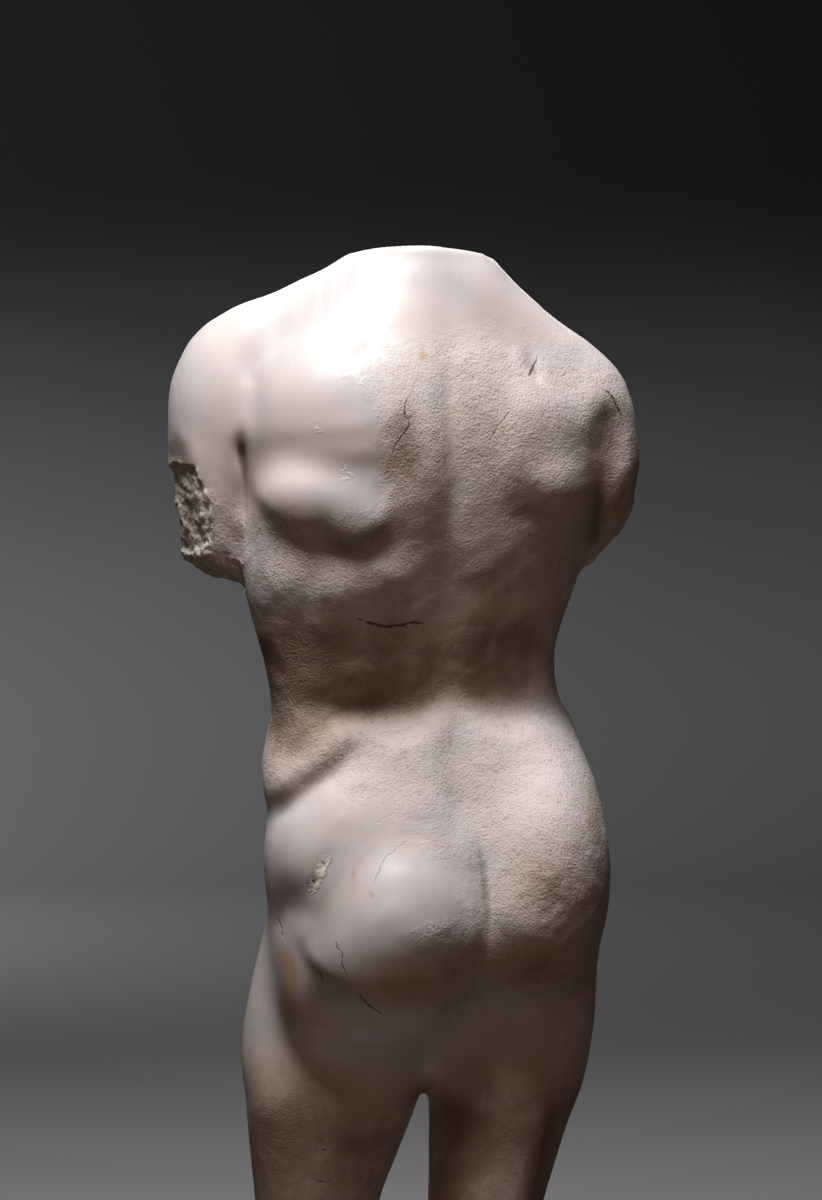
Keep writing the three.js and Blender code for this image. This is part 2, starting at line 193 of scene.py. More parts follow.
def ledge(line, raised, rise, blunt, run, ends=0.15):
    """A step along a line: the side where `raised` lies stands up at the line and falls away behind it."""
    away, side, share = beside(seen, line)
    _, high_side, _ = beside(np.array([raised], float), line)
    inside = away * side * high_side[0]
    lift = smoothstep(-blunt, blunt, inside) * np.exp(-np.maximum(inside, 0) / run)
    return rise * lift * tapered(share, ends) * on_back


def swell(x, z, wide, tall, rise, lean=0):
    """A soft swelling (or with a negative rise a dimple); lean tips it, lifting its left."""
    c, s = math.cos(math.radians(lean)), math.sin(math.radians(lean))
    dx, dz = seen[:, 0] - x, seen[:, 1] - z
    along = (dx * c + dz * s) / wide
    up = (dz * c - dx * s) / tall
    return rise * np.exp(-(along**2 + up**2)) * on_back


def survey():
    """Reads the surface again, for the next strokes."""
    global points, outward, ends, seen, on_back
    points, outward, ends = read_surface(torso.data)
    seen = seen_from_behind(points)
    on_back = smoothstep(-0.05, 0.3, outward[:, 1])


def carve(*strokes, soften=10, inwards=False):
    """Cuts a set of strokes together, rubbed soft by so many rounds; creases are cut straight inwards."""
    depth = relaxed(sum(strokes), ends, soften)[:, None]
    write_surface(torso.data, points + (np.array([0, 1, 0]) if inwards else outward) * depth)
    survey()


def rub(share, rounds):
    """Rubs the surface smooth where the share says so."""
    shift = relaxed(points, ends, rounds) - points
    write_surface(torso.data, points + shift * np.clip(share, 0, 1)[:, None])
    survey()


survey()
rub(np.ones(len(points)), 4)

# The left shoulder blade: an upper and a lower muscle, standing out from the back on a deep edge.
BLADE_EDGE = [[155, 948], [152, 922], [144, 898], [126, 879], [103, 870], [82, 870], [58, 857], [34, 863],
              [15, 884], [5, 910], [-5, 940], [-8, 972], [-2, 1000], [12, 1025]]
carve(
    ledge(BLADE_EDGE, (70, 930), 6.5, 9, 40),
    groove([[156, 960], [129, 954], [94, 953], [59, 952], [26, 955]], 13, 2.5, ends=0.4),
    groove([[156, 1060], [153, 1020], [156, 990], [158, 955]], 10, 4.5, ends=0.4),
    swell(38, 1051, 20, 12, -4, lean=-20),
    swell(74, 1000, 44, 30, 2.5),
    swell(60, 962, 70, 16, 6),
    swell(4, 950, 16, 34, 3),
    swell(86, 912, 50, 22, 4, lean=8),
    swell(-22, 905, 12, 32, -2, lean=-12),
    swell(80, 868, 8, 16, -2.5),
)
# The gap between the two and the edge beside the spine are rubbed soft, filled out and rubbed again.
rub(swell(26, 954, 100, 26, 0.95), 110)
rub(swell(10, 922, 44, 44, 1), 140)
carve(swell(-26, 918, 18, 40, 7), swell(30, 950, 50, 14, 2))
rub(swell(-18, 912, 28, 50, 0.9) + swell(124, 874, 28, 18, 0.7), 30)
# The armpit: a pit at its top, the hollow between arm and back, the arm's fullness, and a narrow seam.
ARMPIT_HOLLOW = [[162, 960], [157, 920], [156, 890], [155, 860], [154, 834], [157, 800]]
ARMPIT_SEAM = [[164, 966], [161, 945], [158, 920], [156, 880], [155, 840]]
carve(
    swell(162, 952, 7, 16, -7),
    groove(ARMPIT_HOLLOW, 9, 8, ends=0.4),
    swell(186, 900, 13, 40, 4),
    soften=6,
    inwards=True,
)
carve(groove(ARMPIT_SEAM, 4.5, 5, ends=0.2), soften=3, inwards=True)

# The right shoulder blade, smaller and more worn, and the crease of the right arm.
RIGHT_BLADE_EDGE = [[-137, 1050], [-124, 1019], [-118, 1000], [-108, 970], [-104, 930], [-108, 900],
                    [-126, 885], [-152, 882]]
RIGHT_CREASE = [[-208, 1008], [-203, 982], [-199, 955], [-198, 930], [-195, 900], [-190, 870], [-182, 830]]
carve(
    ledge(RIGHT_BLADE_EDGE, (-160, 960), 4, 10, 28, ends=0.3),
    swell(-162, 984, 34, 30, 6),
    swell(-119, 900, 14, 20, -3),
)
rub(swell(-136, 886, 66, 34, 0.95), 50)
carve(swell(-156, 906, 26, 26, 7), swell(-119, 893, 16, 14, -2), soften=8)
carve(swell(-130, 1032, 6, 15, -5, lean=-25), soften=2)
carve(groove(RIGHT_CREASE, 12, 13, ends=0.2), swell(-216, 962, 16, 30, -8), soften=6, inwards=True)
rub(swell(-214, 955, 20, 46, 1), 40)

# The spine, the flat beside it and the soft muscles under the blades.
carve(
    groove([[-44, 1080], [-47, 970], [-48, 900], [-47, 810]], 6, 3, ends=0.3),
    groove([[-48, 870], [-41, 790], [-38, 750], [-38, 660]], 20, 4, ends=0.4),
    groove([[-22, 1040], [-22, 960], [-20, 900], [-13, 830]], 14, -3, ends=0.35),
    ledge([[-46, 820], [-67, 822], [-90, 831], [-108, 845], [-118, 867]], (-80, 860), 2.5, 4, 20, ends=0.3),
    swell(64, 812, 30, 22, 5),
    swell(20, 828, 24, 22, 10),
    swell(118, 824, 22, 32, 4),
    groove([[92, 850], [96, 800], [116, 755]], 10, 2.5, ends=0.4),
    groove([[44, 838], [42, 812], [52, 790]], 7, 2, ends=0.4),
    swell(128, 732, 26, 9, -3, lean=48),
)

# The roll above the left hip, its crease, and the edge where the small of the back meets the pelvis.
ROLL_CREASE = [[150, 574], [130, 588], [114, 597], [98, 610], [81, 622], [65, 636], [30, 668]]
PELVIS_EDGE = [[40, 648], [24, 652], [-16, 663], [-36, 690], [-48, 704], [-66, 694], [-86, 676], [-112, 662],
               [-132, 678], [-156, 688]]
carve(
    swell(84, 692, 52, 11, -3.5, lean=14),
    swell(8, 696, 66, 22, -12, lean=-4),
    swell(-114, 692, 42, 20, -11),
    ledge([[x, z + 10] for x, z in ROLL_CREASE], (110, 660), 12, 15, 28, ends=0.35),
    groove(ROLL_CREASE, 8, 4.5, ends=0.45),
    swell(52, 692, 34, 15, -6),
    swell(-74, 702, 20, 16, -6),
    swell(-34, 690, 16, 22, 4),
    ledge(PELVIS_EDGE, (-50, 600), 5, 10, 30, ends=0.15),
    groove([[-48, 690], [-56, 620], [-62, 585], [-70, 550]], 17, 5, ends=0.4),
    swell(-126, 684, 18, 14, 3),
)

# The buttocks: their folds on the thighs, the cleft, and the hip muscle with the hollow behind its bone.
LEFT_FOLD = [[112, 486], [96, 448], [82, 432], [59, 412], [41, 394], [19, 380], [-4, 377], [-26, 382],
             [-48, 391], [-66, 400], [-77, 415], [-81, 438]]
RIGHT_FOLD = [[-85, 420], [-96, 408], [-120, 405], [-146, 409], [-170, 416], [-186, 432], [-195, 450]]
CLEFT = [[-62, 600], [-72, 560], [-78, 530], [-82, 495], [-83, 468], [-79, 440], [-68, 412], [-52, 396]]
carve(
    ledge(LEFT_FOLD, (10, 470), 9, 5, 30, ends=0.3),
    ledge(RIGHT_FOLD, (-130, 470), 9, 4, 26, ends=0.2),
    ledge(CLEFT, (-40, 490), 7, 12, 44, ends=0.3),
    swell(104, 540, 26, 40, 5),
    swell(115, 495, 20, 26, -4),
    swell(126, 486, 6, 14, -2, lean=30),
    swell(103, 470, 9, 12, 2),
    swell(137, 320, 17, 80, 4),
    swell(94, 398, 26, 46, 7),
    swell(-118, 612, 44, 40, -4),
    swell(-118, 290, 60, 90, -18),
)
rub(swell(-120, 440, 70, 34, 1) + swell(0, 420, 80, 36, 1), 60)
carve(swell(-112, 428, 60, 30, -8), swell(-94, 448, 18, 26, -5), soften=8, inwards=True)
carve(groove(CLEFT, 7, 11, ends=0.45), soften=5, inwards=True)
rub(swell(-98, 440, 30, 40, 1), 60)


def within(places, outline):
    """How far inside a closed outline each place lies, in mm; less than nothing outside it."""
    closed = np.array(outline + outline[:1], float)
    away = np.full(len(places), 1e9)
    crossed = np.zeros(len(places), dtype=int)
    for at, to in zip(closed, closed[1:]):
        step, gap = to - at, places - at
        t = np.clip(gap @ step / (step @ step), 0, 1)
        away = np.minimum(away, np.hypot(*(gap - t[:, None] * step).T))
        level = (at[1] > places[:, 1]) != (to[1] > places[:, 1])
        crossed += level & (places[:, 0] < at[0] + (places[:, 1] - at[1]) * step[0] / (step[1] or 1e-9))
    return np.where(crossed % 2 == 1, away, -away)


def lumps(places, size, octaves=4, seed=0):
    """Fractal unevenness, about -1 to 1; size is its largest lump in mm."""
    start = Vector((seed, 0, 0))
    return np.array([noise.fractal(Vector(p) / size + start, 0.9, 2.0, octaves) for p in places])


# The breaks. Each is a rough face; the left arm has also lost a long spall and a darker piece under it.
SPALL = [[226, 938], [208, 932], [199, 918], [193, 898], [190, 866], [191, 852], [214, 846], [240, 850],
         [250, 900], [246, 935]]
UNDER_SPALL = [[212, 856], [188, 850], [160, 838], [160, 806], [203, 818], [240, 835], [240, 858]]
BREAK_FACES = [
    ((-19, 0, 1151), (-0.03, -0.1, 1), (80, 1140, 1200)),  # neck
    ((-211, -30, 864), (-0.79, -0.1, -0.61), (70, 800, 925)),  # right arm
    ((194, 40, 842), (0.44, 0.27, -0.86), (90, 790, 900)),  # left arm
]


def inside_ragged(outline):
    """How far inside a broken outline each point lies, in mm, with the outline splintered."""
    inside = within(seen, outline)
    near = (inside > -12) & (points[:, 0] > 140)
    inside[near] += lumps(points[near], 18, seed=7) * 5
    return np.where(near, inside, -20)


def broken_share():
    """1 on the broken faces, 0 on the worked skin."""
    share = smoothstep(-1.5, 1.5, inside_ragged(SPALL)) * smoothstep(0, 0.3, outward[:, 1] + outward[:, 0])
    under = smoothstep(-1.5, 1.5, inside_ragged(UNDER_SPALL)) * (points[:, 1] > -60) * (points[:, 0] > 150)
    share = np.maximum(share, under)
    for at, out, (reach, low, high) in BREAK_FACES:
        out = np.array(out) / np.linalg.norm(out)
        gap = points - np.array(at)
        on_face = smoothstep(9, 5, np.abs(gap @ out)) * smoothstep(0.6, 0.85, outward @ out)
        near = (np.linalg.norm(gap, axis=1) < reach * 1.5) & (points[:, 2] > low) & (points[:, 2] < high)
        share = np.maximum(share, on_face * near)
    return share


broken = broken_share()
bpy.ops.object.mode_set(mode="EDIT")
skin_mesh = bmesh.from_edit_mesh(torso.data)
for face in skin_mesh.faces:
    face.select_set(max(broken[corner.index] for corner in face.verts) > 0.2)
bmesh.update_edit_mesh(torso.data)
bpy.ops.mesh.subdivide(number_cuts=1, quadcorner="INNERVERT")
bpy.ops.object.mode_set(mode="OBJECT")
survey()
broken = broken_share()

rugged = np.zeros(len(points))
torn = broken > 0
rugged[torn] = lumps(points[torn], 26) * 2.6 + lumps(points[torn], 8, seed=5) * 0.8
scooped = smoothstep(0, 6, inside_ragged(SPALL)) * 3
write_surface(torso.data, points + outward * ((rugged - scooped) * broken)[:, None])
survey()

HIP_BRUISE = [[98, 498], [87, 522], [71, 555]]

# Its weathering, as shares from 0 to 1 over the skin: crust is pitted stone, patina_and_shade is brown
# staining and also painted shade low on the back, under the buttocks and on the thighs, soil_and_shade is
# dirt held in the creases and also painted shade in the hollows, the cleft, the right arm's crease and under
# the left blade, and ochre, grey and sparkle are local stains and bruised crystals.


def mark(mesh, name, values):
    """Keeps a value at each point of a mesh, for its material to read."""
    kept = mesh.attributes.new(name, "FLOAT", "POINT")
    kept.data.foreach_set("value", values.astype(np.float32))


unseen = 1 - on_back
below = smoothstep(420, 250, points[:, 2])
polished = (
    swell(88, 975, 84, 62, 0.95)
    + swell(80, 915, 68, 34, 0.8)
    + swell(190, 1010, 60, 110, 0.9)
    + swell(20, 1120, 190, 46, 0.75)
    + smoothstep(1000, 1110, points[:, 2]) * 0.45
    + swell(60, 500, 95, 105, 0.85)
    + swell(110, 560, 50, 60, 0.5)
    + swell(122, 440, 46, 60, 0.6)
    + swell(-20, 480, 50, 70, 0.35)
    + smoothstep(440, 330, points[:, 2]) * 0.75
    + band([[-44, 1060], [-47, 960], [-48, 860]], 9, 0.35)
)
rugose = (
    swell(-145, 510, 44, 40, 0.6)
    + swell(-35, 468, 28, 12, 0.6)
    + band([[2, 1035], [-2, 900], [0, 810]], 24, 0.5)
)
crust = np.clip(0.85 - polished, 0, 1) * on_back + rugose + unseen * 0.4
# Painted shade on the backs of the thighs: a base share, more towards the right thigh and lower down.
painted_thigh_shade = 0.75 + 0.4 * smoothstep(20, -40, points[:, 0]) + 0.4 * smoothstep(320, 220, points[:, 2])
patina_and_shade = (
    band([[2, 1030], [2, 980], [-4, 930], [4, 880]], 17, 0.62)
    + swell(-95, 950, 85, 80, 0.5)
    # Brown stain over the small of the back, the left waist and the roll above the hip, darkened further as
    # painted shade.
    + swell(-110, 850, 50, 50, 0.3)
    + swell(50, 838, 90, 30, 0.3)
    + swell(30, 742, 125, 50, 0.9)
    + swell(128, 738, 42, 40, 0.9)
    + swell(36, 700, 70, 20, 0.8)
    + swell(-105, 750, 60, 72, 0.8)
    + swell(110, 660, 55, 42, 0.85)
    + swell(-142, 512, 52, 40, 0.8)
    + band([[98, 556], [91, 530], [89, 505]], 5, 0.4)
    + band([[64, 574], [52, 548], [50, 520], [57, 494]], 5, 0.45)
    + band([[16, 566], [38, 548], [47, 526]], 4, 0.4)
    # Painted shade under the buttocks.
    + swell(-140, 430, 70, 34, 0.8)
    + swell(0, 415, 80, 34, 0.7)
    + swell(-212, 890, 24, 60, 0.75)
    + band([[170, 930], [172, 880], [176, 840]], 10, 0.4)
    # Painted shade on the backs of the thighs.
    + below * on_back * painted_thigh_shade
    + swell(108, 320, 46, 80, 0.35)
    + unseen * 0.34
)
hollow = np.einsum("ij,ij->i", relaxed(points, ends, 24) - points, outward)
soil_and_shade = (
    # Darker in every hollow of the skin: dirt held there, and painted shade.
    smoothstep(0.6, 3.2, hollow) * 0.5
    # Painted shade under the lower edge of the left blade.
    + band([[84, 868], [58, 856], [32, 864], [10, 888]], 14, 0.65)
    + swell(-121, 888, 24, 13, 0.8)
    + band([[163, 966], [161, 945], [158, 915]], 6, 0.85, ends=0.4)
    + swell(-130, 1032, 6, 14, 0.5)
    # Painted shade along the right arm's crease.
    + band([[x - 5, z] for x, z in RIGHT_CREASE], 16, 0.8, ends=0.2)
    # Painted shade in the cleft.
    + band(CLEFT, 8, 0.3)
    + swell(78, 800, 9, 7, 0.9)
    + swell(124, 486, 8, 14, 0.5)
)
ochre = (
    swell(14, 932, 12, 14, 0.8)
    + swell(38, 980, 16, 22, 0.4)
    + swell(-19, 1044, 5, 9, 1)
    + swell(-190, 582, 12, 50, 0.8)
    + band([[121, 470], [116, 420], [118, 350]], 11, 1.0)
    + band([[51, 532], [50, 520]], 3, 1)
    + band([[35, 512], [30, 500]], 3, 1)
    + swell(-60, 1080, 60, 20, 0.12)
)
grey = (
    swell(2, 972, 18, 30, 1)
    + swell(70, 1020, 44, 22, 0.35)
    + swell(-112, 985, 14, 26, 0.5)
    + swell(-130, 850, 34, 26, 0.4)
    + swell(48, 622, 10, 14, 0.2)
    + swell(-40, 610, 18, 24, 0.35)
    + band([[60, 561], [58, 550], [60, 540]], 3, 0.8)
)
sparkle = (
    swell(87, 972, 7, 5, 1)
    + band([[62, 938], [56, 924], [48, 912]], 6, 1)
    + swell(-35, 468, 26, 9, 0.7)
    + swell(-4, 797, 7, 4, 1)
    + swell(-20, 640, 22, 12, 0.4)
)
broken = np.maximum(broken, band(HIP_BRUISE, 8, 0.75))
for name, values in [("crust", crust), ("patina_and_shade", patina_and_shade), ("soil_and_shade", soil_and_shade), ("ochre", ochre), ("grey", grey),
                     ("sparkle", sparkle), ("broken", broken)]:
    mark(torso.data, name, np.clip(values, 0, 1))

# Hair cracks: each point holds its distance to the nearest one, with a sign for the side, and how open it is.
CRACKS = [
    ([[50, 783], [32, 776], [9, 774], [-8, 778], [-23, 775]], 2.8),
    ([[-8, 1012], [0, 990], [-6, 976], [6, 960], [16, 938]], 0.7),
    ([[-112, 992], [-104, 986], [-96, 976], [-84, 956]], 0.5),
    ([[-134, 1046], [-130, 1034], [-124, 1022]], 1.1),
    ([[-48, 817], [-66, 820], [-84, 826], [-100, 838]], 0.55),
    ([[72, 462], [63, 447], [60, 432], [54, 418]], 0.6),
    ([[47, 408], [34, 394], [18, 385]], 1.3),
    ([[-13, 563], [4, 554], [18, 542], [26, 527], [34, 508]], 0.35),
    ([[3, 588], [22, 580], [38, 568]], 0.3),
    ([[86, 430], [80, 420]], 1.0),
    ([[-200, 1012], [-209, 1000], [-216, 988], [-223, 980]], 0.9),
    ([[92, 222], [79, 218], [65, 222]], 0.9),
    ([[84, 250], [76, 251]], 1.2),
    ([[128, 486], [122, 472], [120, 462]], 0.8),
]
crack_side = np.full(len(points), 20.0)
crack_open = np.zeros(len(points))
for line, wide in CRACKS:
    away, side, share = beside(seen, line)
    nearest = away < np.abs(crack_side)
    crack_side[nearest] = (away * side)[nearest]
    crack_open[nearest] = (wide * smoothstep(8, 4, away) * tapered(share, 0.2) * on_back)[nearest]
mark(torso.data, "crack_side", crack_side)
mark(torso.data, "crack_open", crack_open)

# The crust is uneven under its pits, most of all on the right buttock, and the bruise on the hip is sunk.
worn = np.clip(crust, 0, 1) * (1 - broken) * 0.7
pocked = swell(-140, 508, 36, 30, 1.3) + swell(-35, 468, 26, 9, 0.6) + band(HIP_BRUISE, 6, 1.1)
relief = (
    band(HIP_BRUISE, 6, -1.6)
    + swell(8, 762, 5, 3, -1.2)
    + swell(5, 728, 4, 9, -1.5)
    + swell(-4, 797, 7, 3, -1.5)
)
uneven = (worn > 0.03) | (pocked > 0.05)
broad = lumps(points[uneven], 22, seed=9) * worn[uneven]
small = lumps(points[uneven], 7, seed=3) * pocked[uneven]
relief[uneven] += broad + small
write_surface(torso.data, points + outward * relief[:, None])

bpy.ops.object.select_all(action="DESELECT")
torso.select_set(True)
bpy.context.view_layer.objects.active = torso
bpy.ops.object.shade_smooth()


def node(tree, kind, sockets=(), **settings):
    """A node with its settings; its sockets take plain values or other nodes' sockets."""
    made = tree.nodes.new(kind)
    for name, value in settings.items():
        setattr(made, name, value)
    for name, value in dict(sockets).items():
        if isinstance(value, bpy.types.NodeSocket):
            tree.links.new(value, made.inputs[name])
        else:
            made.inputs[name].default_value = value
    return made


def maths(tree, operation, a, b=0.0):
    return node(tree, "ShaderNodeMath", {0: a, 1: b}, operation=operation).outputs[0]


def times(tree, a, b):
    return maths(tree, "MULTIPLY", a, b)


def plus(tree, a, b):
    return maths(tree, "ADD", a, b)


def minus(tree, a, b):
    return maths(tree, "SUBTRACT", a, b)


def between(tree, value, low, high, start=0.0, end=1.0):
    """A value eased from start to end while it runs from low to high."""
    sockets = {"Value": value, "From Min": low, "From Max": high, "To Min": start, "To Max": end}
    return node(tree, "ShaderNodeMapRange", sockets, interpolation_type="SMOOTHSTEP").outputs["Result"]


def toned(tree, share, under, over, blend_type="MIX"):
    """One colour laid over another by a share."""
    return node(tree, "ShaderNodeMix", {0: share, 6: under, 7: over}, data_type="RGBA", blend_type=blend_type,
                clamp_factor=True).outputs[2]


def speckle(tree, places, size, detail=4.0, rough=0.55, warp=0.0):
    """Noise whose lumps are about so many metres wide."""
    sockets = {"Vector": places, "Scale": 1 / size, "Detail": detail, "Roughness": rough, "Distortion": warp}
    return node(tree, "ShaderNodeTexNoise", sockets).outputs["Fac"]


def share_of(tree, name):
    return node(tree, "ShaderNodeAttribute", attribute_name=name, attribute_type="GEOMETRY").outputs["Fac"]


def effect(name, inputs, outputs):
    """An empty node group with its sockets; returns its tree, its inputs and its exit."""
    tree = bpy.data.node_groups.new(name, "ShaderNodeTree")
    for label, kind, value in inputs:
        socket = tree.interface.new_socket(label, in_out="INPUT", socket_type="NodeSocket" + kind)
        if value is not None:
            socket.default_value = value
    for label, kind in outputs:
        tree.interface.new_socket(label, in_out="OUTPUT", socket_type="NodeSocket" + kind)
    return tree, tree.nodes.new("NodeGroupInput").outputs, tree.nodes.new("NodeGroupOutput").inputs


# Grain pits: rounded grains and the holes between them, where a stone's surface has weathered away.
pitting, given, exit_to = effect(
    "grain_pits",
    [("Places", "Vector", None), ("Grain", "Float", 0.004), ("Amount", "Float", 1.0)],
    [("Height", "Float"), ("Pits", "Float")],
)
per_metre = maths(pitting, "DIVIDE", 1.0, given["Grain"])
shaken = node(pitting, "ShaderNodeTexNoise", {"Vector": given["Places"], "Scale": per_metre, "Detail": 2.0})
offset = node(pitting, "ShaderNodeVectorMath", {0: shaken.outputs["Color"], 1: (0.5, 0.5, 0.5)},
              operation="SUBTRACT")
offset = node(pitting, "ShaderNodeVectorMath", {0: offset.outputs[0], "Scale": 0.0035}, operation="SCALE")
moved = node(pitting, "ShaderNodeVectorMath", {0: given["Places"], 1: offset.outputs[0]}).outputs[0]
grains = node(pitting, "ShaderNodeTexVoronoi", {"Vector": moved, "Scale": per_metre, "Smoothness": 0.6},
              feature="SMOOTH_F1").outputs["Distance"]
sockets = {"Vector": given["Places"], "Scale": times(pitting, per_metre, 1.5), "Detail": 3.0,
           "Roughness": 0.6}
fine = node(pitting, "ShaderNodeTexNoise", sockets).outputs["Fac"]
sockets = {"Vector": given["Places"], "Scale": times(pitting, per_metre, 0.4), "Detail": 3.0}
wave = node(pitting, "ShaderNodeTexNoise", sockets).outputs["Fac"]
rise = minus(pitting, times(pitting, wave, 0.9), times(pitting, grains, 0.35))
rise = plus(pitting, rise, times(pitting, fine, 1.3))
pitting.links.new(times(pitting, rise, given["Amount"]), exit_to["Height"])
holes = times(pitting, between(pitting, rise, 0.82, 0.62), given["Amount"])
pitting.links.new(holes, exit_to["Pits"])

# Mottling: the slow drift of a stone's own colour, with wisps of grey drawn out along its bed.
mottling, given, exit_to = effect(
    "stone_mottle",
    [("Places", "Vector", None), ("Warm", "Color", (1, 1, 1, 1)), ("Cool", "Color", (1, 1, 1, 1)),
     ("Wisp", "Color", (0.4, 0.4, 0.4, 1)), ("Size", "Float", 0.09)],
    [("Color", "Color")],
)
scale = maths(mottling, "DIVIDE", 1.0, given["Size"])
sockets = {"Vector": given["Places"], "Scale": scale, "Detail": 5.0}
drift = node(mottling, "ShaderNodeTexNoise", sockets).outputs["Fac"]
drawn = node(mottling, "ShaderNodeMapping", {"Vector": given["Places"], "Scale": (1.0, 1.0, 0.32)}).outputs[0]
sockets = {"Vector": drawn, "Scale": times(mottling, scale, 2.2), "Detail": 6.0, "Distortion": 1.4}
wisps = node(mottling, "ShaderNodeTexNoise", sockets).outputs["Fac"]
thread = between(mottling, maths(mottling, "ABSOLUTE", minus(mottling, wisps, 0.5)), 0.12, 0.0)
thread = times(mottling, thread, between(mottling, drift, 0.42, 0.62, 0.0, 0.16))
stone_colour = toned(mottling, between(mottling, drift, 0.35, 0.65), given["Warm"], given["Cool"])
mottling.links.new(toned(mottling, thread, stone_colour, given["Wisp"]), exit_to["Color"])


def placed_effect(tree, group, sockets):
    """A use of a shared effect in a material."""
    return node(tree, "ShaderNodeGroup", sockets, node_tree=group)


# The marble's colours, clean, stained and broken; the tans and browns and the crease dirt also serve as
# painted shade.
SKIN_WARM = (0.68, 0.60, 0.575, 1)
SKIN_COOL = (0.63, 0.595, 0.60, 1)
SKIN_WISP = (0.42, 0.36, 0.36, 1)
CRUST_TONE = (0.62, 0.53, 0.49, 1)
PALE_TAN = (0.68, 0.54, 0.45, 1)
DEEP_TAN = (0.52, 0.39, 0.31, 1)
PALE_BROWN = (0.25, 0.155, 0.105, 1)
DEEP_BROWN = (0.13, 0.08, 0.055, 1)
GREY_STAIN = (0.30, 0.29, 0.33, 1)
OCHRE_STAIN = (0.52, 0.34, 0.15, 1)
CREASE_DIRT_AND_SHADE = (0.085, 0.045, 0.028, 1)
PIT_SHADE = (0.24, 0.15, 0.10, 1)
BRUISED_CRYSTAL = (0.80, 0.76, 0.72, 1)
PALE_BREAK = (0.94, 0.87, 0.78, 1)
DULL_BREAK = (0.70, 0.62, 0.53, 1)
BREAK_SPOT = (0.17, 0.125, 0.09, 1)
BREAK_SPECK = (0.22, 0.165, 0.12, 1)
CRACK_DIRT = (0.06, 0.038, 0.027, 1)


